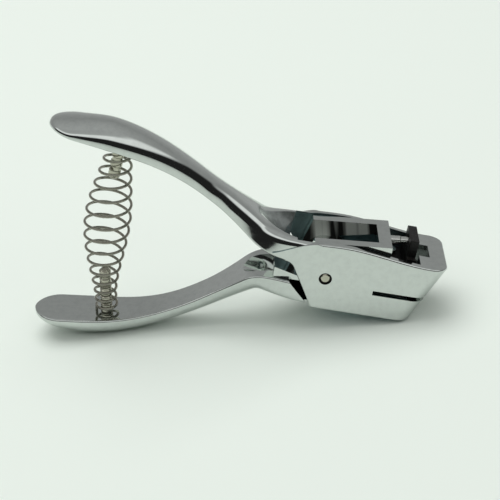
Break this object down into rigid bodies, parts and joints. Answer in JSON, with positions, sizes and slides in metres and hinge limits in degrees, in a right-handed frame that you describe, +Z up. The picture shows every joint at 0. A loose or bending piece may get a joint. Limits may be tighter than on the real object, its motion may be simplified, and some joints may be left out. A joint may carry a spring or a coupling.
{
  "type": "slot punch",
  "caption": "Plier-type slot punch: two sprung chrome handles drive a blade through a card held in the throat of its jaw to cut one long slot.",
  "frame": {"origin": "centre of the tool's box, on the surface it stands on", "axes": "+X from the handles to the nose, +Y across the tool, +Z up; the jaw leans nose down as it rests on its lower handle and the front edge of its jaw"},
  "size_m": [0.1406, 0.024, 0.0802],
  "materials": {
    "plated_casting": "polished chrome plate",
    "nickel_rivet": "dull nickel plate",
    "bright_steel": "turned steel",
    "hardened_steel": "ground",
    "black_oxide": "black oxide, satin",
    "nickel_wire": "nickel-plated drawn wire"
  },
  "bodies": {
    "frame": {"frame": "plated_casting", "pivot_rivet": "nickel_rivet", "thrust_washers": "bright_steel", "punch_guide": "black_oxide", "guide_screws": "bright_steel", "die_plate": "hardened_steel", "die_screws": "bright_steel", "handle_spring": "nickel_wire", "upper_stud": "bright_steel"},
    "lever": {"lever": "plated_casting", "pivot_bush": "bright_steel", "drive_pin": "bright_steel", "lower_stud": "bright_steel"},
    "punch": {"punch": "black_oxide"}
  },
  "joints": [
    {"name": "lever_hinge", "type": "hinge", "parent": "frame", "child": "lever", "pos_m": [0.0293, 0, 0.01969], "axis": [0, 1, 0], "range_deg": [0, 10.5], "stiffness_Nm_per_rad": 2, "springref_deg": -17.19, "deforming": ["handle_spring"]},
    {"name": "punch_slide", "type": "slide", "parent": "frame", "child": "punch", "axis": [-0.264, 0, -0.9645], "range_m": [0, 0.0051]}
  ],
  "couplings": [
    {"joint": "punch_slide", "follows": "lever_hinge", "m_per_rad": 0.0278}
  ]
}
